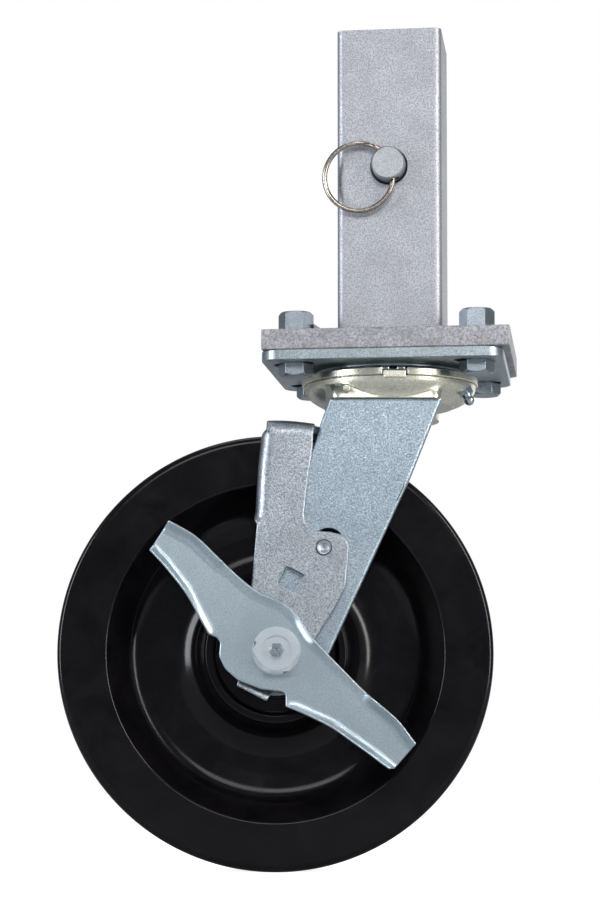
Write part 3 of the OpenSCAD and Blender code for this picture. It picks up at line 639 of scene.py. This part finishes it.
# %% Brake pedal
PEDAL_SLOPE = math.radians(41.9)
PEDAL_ALONG = np.array([math.cos(PEDAL_SLOPE), 0, -math.sin(PEDAL_SLOPE)])
PEDAL_UP = np.array([math.sin(PEDAL_SLOPE), 0, math.cos(PEDAL_SLOPE)])
pedal_upper = np.array([(-76.4, 11.4), (-62.4, 14.8), (-47, 13.9), (-31, 13.7), (-22.5, 14.8), (-12.1, 18.6),
                        (-3.5, 18.4), (6, 15.6), (19.8, 14.5), (43.9, 13), (61.9, 13.8), (75.6, 11)])
pedal_lower = np.array([(75.9, -4), (73.7, -6.1), (60.7, -7.3), (41.5, -9.4), (27.6, -13.5), (20.1, -16.2)])
pedal_hub = [(15.7, -11.3), (6.6, -17.7), (-3.8, -21.8), (-11.9, -21.9), (-18, -19.3), (-21.6, -14.3)]
pedal_left = np.array([(-24.4, -13.8), (-27.9, -15.2), (-33.7, -13.3), (-47.7, -8.2), (-64.2, -5.5),
                       (-73.8, -4.7)])


def smooth(t):
    """0 below 0, 1 above 1, and 3t^2 - 2t^3 between."""
    t = np.clip(t, 0, 1)
    return t * t * (3 - 2 * t)


def press_flanges(p):
    """Lift towards -y = height * smooth(share of the flange's width that is passed), for both edges."""
    along, up = p[:, 0], p[:, 2]
    toe = smooth((np.abs(along) - 43) / 3.5)
    width, height = 3.6 + 1.4 * toe, 1.5 + 2.1 * toe
    low_height = 1.2 + 1.8 * smooth((np.abs(along) - 25) / 40)
    over = np.interp(along, pedal_upper[:, 0], pedal_upper[:, 1])
    under = np.interp(along, [-73.8, -64.2, -47.7, -33.7, -27.9, 20.1, 27.6, 41.5, 60.7, 73.7],
                      [-4.7, -5.5, -8.2, -13.3, -15.2, -16.2, -13.5, -9.4, -7.3, -6.1])
    hub = smooth((along + 29) / 3) * smooth((23 - along) / 3)
    lift = height * smooth((up - over + width) / width)
    lift = np.maximum(lift, low_height * (1 - hub) * smooth((under + 3.6 - up) / 3.6))
    out = p.copy()
    out[:, 1] -= lift
    return out


def from_pedal(p):
    return from_fork(p[:, :1] * PEDAL_ALONG + p[:, 2:] * PEDAL_UP + p[:, 1:2] * np.array([0, 1.0, 0]))


pedal_back, pedal_front = -43.5, -46.5
EDGE, BROW = [300] * 3, [20] * 4
pedal_outline = rounded(np.concatenate([pedal_upper, pedal_lower, pedal_hub, pedal_left]),
                        [1, *EDGE, *BROW, *EDGE, 1, 1.5, 2, *EDGE, 1, 3, 6, 8, 8, 6, 3, 1, 2, *EDGE, 1])
pedal_mesh = plate("brake_pedal_pressing", pedal_outline, pedal_back, pedal_front, 0.9, [circle((0, 0), 7.6)],
                   gap=1.2, bend=press_flanges, place=from_pedal)
pedal = place_piece("brake_pedal_pressing", pedal_mesh, "pedal", pedal_zinc,
                    ("brake_pedal",))
even_normals(pedal, 60)

# %% [markdown]
# ## Brake arm
# The arm is 4 mm sheet. It is drawn flat, as it was before pressing, and then each bend rolls the sheet
# round a radius: the left edge back into a flange, and the top back over the tread as the shoe, which
# follows the tread's own curve. A short lip at the foot stands out towards the pedal. The arm swings on
# its own pivot, so the bush and the pedal's drive pin each need an opening as long as their run in it.

# %% Arm openings
def turned(p, degrees):
    """p turned about the arm's pivot: pivot + (dx cos a - dz sin a, dx sin a + dz cos a)."""
    a, d = np.radians(degrees), np.asarray(p, float) - PIVOT
    x = d[..., 0] * np.cos(a) - d[..., 1] * np.sin(a)
    z = d[..., 0] * np.sin(a) + d[..., 1] * np.cos(a)
    return PIVOT + np.stack([x, z], -1)


def track(path, r):
    """Outline of all points within r of a path: one side, a half circle, the other side, a half circle."""
    way = np.gradient(path, axis=0)
    way /= np.linalg.norm(way, axis=1)[:, None]
    side = np.stack([way[:, 1], -way[:, 0]], 1)
    a = np.linspace(0, np.pi, 17)[1:-1, None]
    ahead = path[-1] + r * (np.cos(a) * side[-1] + np.sin(a) * way[-1])
    behind = path[0] - r * (np.cos(a) * side[0] + np.sin(a) * way[0])
    return np.concatenate([path + r * side, ahead, path[::-1] - r * side[::-1], behind])


DRIVE_R, DRIVE_ANGLE, PEDAL_TRAVEL, PEDAL_PER_ARM = 16, 68, 45, 15
press = np.linspace(0, PEDAL_TRAVEL, 13)
drive_angle = np.radians(DRIVE_ANGLE + press)
drive_seen = turned(DRIVE_R * np.stack([np.cos(drive_angle), np.sin(drive_angle)], 1), -press / PEDAL_PER_ARM)
drive_slot = track(drive_seen, 2.85)
bush_opening = track(turned(np.zeros((5, 2)), np.linspace(0, -3.2, 5)), 7.9)
print("bush runs", turned((0, 0), -3.2).round(2), "mm in the arm's opening")
print("drive slot", drive_slot.min(0).round(1), "to", drive_slot.max(0).round(1))

# %% Brake arm
ARM_BACK, ARM_FRONT = -36.1, -40.1
ARM_MID = (ARM_BACK + ARM_FRONT) / 2
BEND = 3.5
SHOE_MID = 105.2
bend_r = SHOE_MID - BEND
shoe_length = 24 - (ARM_MID + BEND) + BEND * math.pi / 2


def rolled(s, depth):
    """Where sheet at distance s past a bend line goes: (out of the old plane's direction, depth in y).
    Up to a quarter turn it runs round the bend at radius BEND + t, and after that straight back."""
    t = ARM_MID - depth
    angle = np.clip(s / BEND, 0, math.pi / 2)
    past = np.clip(s - BEND * math.pi / 2, 0, None)
    return (BEND + t) * np.sin(angle), ARM_MID + BEND - (BEND + t) * np.cos(angle) + past


def bend_arm(p):
    """Rolls the left edge and the shoe back, and lifts the lip."""
    x, y, z = p.T.copy()
    bend_z = np.sqrt(bend_r**2 - np.clip(x, -30, 30) ** 2)
    s = z - bend_z
    top = s > 0
    reach, depth = rolled(s, y)
    edge_x = np.interp(z, [61.1, 85.4, 103], [-4.2, -2.9, -0.9])
    side = (edge_x - x > 0) & ~top & (z > 58)
    share = smooth((z - 59) / 6)
    side_reach, side_depth = rolled(edge_x - x, y)
    out = p.copy()
    out[side, 0] = (x + share * (edge_x - side_reach - x))[side]
    out[side, 1] = (y + share * (side_depth - y))[side]
    n = np.stack([x, bend_z], 1) / bend_r
    out[top, 0] = (x + n[:, 0] * reach)[top]
    out[top, 2] = (bend_z + n[:, 1] * reach)[top]
    out[top, 1] = depth[top]
    foot_way = np.array([-0.464, -0.886])
    beyond = (out[:, [0, 2]] - [-9.9, -15.4]) @ foot_way
    out[:, 1] -= 2.4 * smooth((beyond + 1.5) / 4) * (out[:, 2] < -8)
    return out


arm_top = bend_r + shoe_length
arm_ear = [(12.8, 63), (13.4, 59), (17.2, 55.7), (25.4, 55), (29.4, 54), (32.2, 51.6), (33.5, 48.3)]
arm_right = [(32.1, 30.1), (26.7, 19.9), (19.2, 7.8), (3.3, -16.5)]
arm_lip = [(-2.8, -20.4), (-4.4, -23), (-18.2, -15.8), (-17.3, -12.6), (-16.5, -9)]
arm_left = [(-11.1, 34.1), (-9.0, 58.6), (-11.8, 63), (-10.6, 85.4), (-8.6, 99.5), (-4.2, 102.5)]
arm_shoe = [(-4.4, arm_top), (23.5, arm_top), (23.5, 113.6), (17.2, 111.5), (17, 100), (16.6, 92.2),
            (14.5, 78.7)]
arm_points = arm_ear + arm_right + arm_lip + arm_left + arm_shoe
arm_radii = [8, 3, 3, 6, 4, 4, 4, 8, 4, 30, 3, 1, 0.8, 0.8, 2, 8, 60, 2, 2, 10, 3, 0.6, 1, 1, 2, 2, 6, 20, 20]
window = 4.75 * np.array([(-1, -1), (1, -1), (1, 1), (-1, 1)])
turn = math.radians(-26.6)
window = window @ np.array([[math.cos(turn), math.sin(turn)], [-math.sin(turn), math.cos(turn)]]) + [6.7, 33]
arm_mesh = plate("brake_arm_pressing", rounded(arm_points, arm_radii), ARM_BACK, ARM_FRONT, 0.8,
                 [bush_opening, drive_slot, circle(PIVOT, 3.65, 32), rounded(window, 1.1, 4)],
                 gap=1.3, bend=bend_arm)
arm = place_piece("brake_arm_pressing", arm_mesh, "arm", arm_zinc, ("brake_arm",))
even_normals(arm, 60)

# %% Pivot rivet
AXIS_GAP = 0.01
rivet = [(AXIS_GAP, -29.8), (3.5, -29.8), (3.5, -40.4), (3.1, -41.0), (2.5, -41.0), (2.0, -40.6),
         (0.9, -40.2), (AXIS_GAP, -40.1)]
rivet_centre = from_fork((PIVOT[0], 0, PIVOT[1]))
rivet_mesh = turned_surface("arm_pivot_rivet", rivet, rivet_centre, fork_y, fork_x, 48)
pivot_rivet = place_piece("arm_pivot_rivet", rivet_mesh, "fork", arm_zinc, ("pivot_pin",))
even_normals(pivot_rivet, 50)

# %% [markdown]
# ## Yoke crown
# The crown is a forging: a round bowl under the race ring that flows into a square shoulder over the
# legs. For each height the bowl gives one radius and the shoulder another, and a smooth maximum of the
# two, (bowl^m + shoulder^m)^(1/m), is the wall all the way round.

# %% Yoke crown
LEG_TOP_X = (axle[:2] - swivel_at[:2]) @ fork_x[:2] + np.array([24.7, 77.1])


def crown_rings(low, high, steps=160):
    """Rings of points from the top disc down the bowl and shoulder, in over the foot and up the bore."""
    a = np.linspace(0, 2 * np.pi, steps, endpoint=False)
    ray = np.stack([np.cos(a), np.sin(a)], 1)
    half_x = np.where(ray[:, 0] > 0, LEG_TOP_X[1], -LEG_TOP_X[0])
    rings = [(12.0 + 0 * a, high), (40.6 + 0 * a, high), (41.0 + 0 * a, high - 0.4)]
    for z in np.linspace(high - 1.4, low + 0.5, 15):
        share = (high - 1.4 - z) / (high - 1.4 - low)
        bowl = 26 + 14.8 * math.sqrt(max(1 - share**1.6, 0))
        rise = np.clip((z - low) / 7.5, 0, 1)
        half_y = 28.4 + 7.5 * math.sqrt(1 - rise**2)
        square = ((np.abs(ray[:, 0]) / half_x) ** 14 + (np.abs(ray[:, 1]) / half_y) ** 14) ** (-1 / 14)
        square = np.where(z < low + 7.5, square, 0.1)
        rings.append(((bowl**26 + square**26) ** (1 / 26), z))
    foot = rings[-1][0]
    rings += [(foot - 0.5, low), (np.minimum(foot, 14), low), (12.0 + 0 * a, low + 0.6)]
    return np.concatenate([np.c_[r[:, None] * ray, np.full(steps, z)] for r, z in rings]), len(rings), steps


_, _, crown_low, crown_high = node_span("yoke_crown")
ring_low = node_span("race_ring")[2] + axle[2]
points, rows, cols = crown_rings(crown_low + axle[2], ring_low)
crown_mesh = outward(to_mesh("yoke_crown_forging", from_swivel(points), grid_faces(rows, cols, True, True)))
crown = place_piece("yoke_crown_forging", crown_mesh, "fork", yellow_zinc,
                    ("yoke_crown",))
even_normals(crown, 40)

# %% Crown tab
tab_low, tab_high, tab_half = ring_low - 1.4, ring_low + 2.3, 5.2
tab_corners = [(-tab_half, tab_low), (tab_half, tab_low), (tab_half, tab_high), (-tab_half, tab_high)]
tab_mesh = plate("crown_tab", rounded(tab_corners, 0.5, 3), -36.6, -41.5, 0.5, gap=1.5, place=from_swivel)
even_normals(place_piece("crown_tab", tab_mesh, "fork", yellow_zinc))

# %% [markdown]
# ## Pull ring
# A split ring is a little more than one turn of spring wire, whose two ends lie side by side. The wire
# is a circle carried along a ring path, whose depth shifts by one wire near the overlap.

# %% Pull ring
def wire_ring(name, centre, radius, wire_r, start, overlap, steps=150, sides=16):
    """Path = centre + radius * (cos a, 0, sin a). Its depth is -shift at the start and +shift at the end."""
    a = start + np.linspace(0, 2 * np.pi + overlap, steps)
    along = np.linspace(0, 1, steps)
    shift = wire_r * 0.98 * (smooth((along - 0.93) / 0.05) - smooth((0.07 - along) / 0.05))
    out = np.stack([np.cos(a), 0 * a, np.sin(a)], 1)
    path = np.asarray(centre) + radius * out + shift[:, None] * np.array([0, 1.0, 0])
    b = np.linspace(0, 2 * np.pi, sides, endpoint=False)
    wire = np.cos(b)[None, :, None] * out[:, None] + np.sin(b)[None, :, None] * np.array([0, 1.0, 0])
    tube = path[:, None] + wire_r * wire
    faces = grid_faces(steps, sides, False, True).tolist()
    faces += [list(range(sides))[::-1], [(steps - 1) * sides + k for k in range(sides)]]
    return outward(to_mesh(name, tube.reshape(-1, 3), faces))


ring_low_mm, ring_high_mm = (np.array(v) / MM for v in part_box("pull_ring"))
ring_mid = (ring_low_mm + ring_high_mm) / 2
ring_wire_r = (ring_high_mm[1] - ring_low_mm[1]) / 2
ring_radius = (ring_high_mm[0] - ring_low_mm[0]) / 2 - ring_wire_r
ring_start, ring_overlap = math.radians(52), math.radians(30)
ring_mesh = wire_ring("split_pull_ring", ring_mid, ring_radius, ring_wire_r, ring_start, ring_overlap)
split_ring = place_piece("split_pull_ring", ring_mesh, "ring", ring_nickel, ("pull_ring",))
even_normals(split_ring, 50)
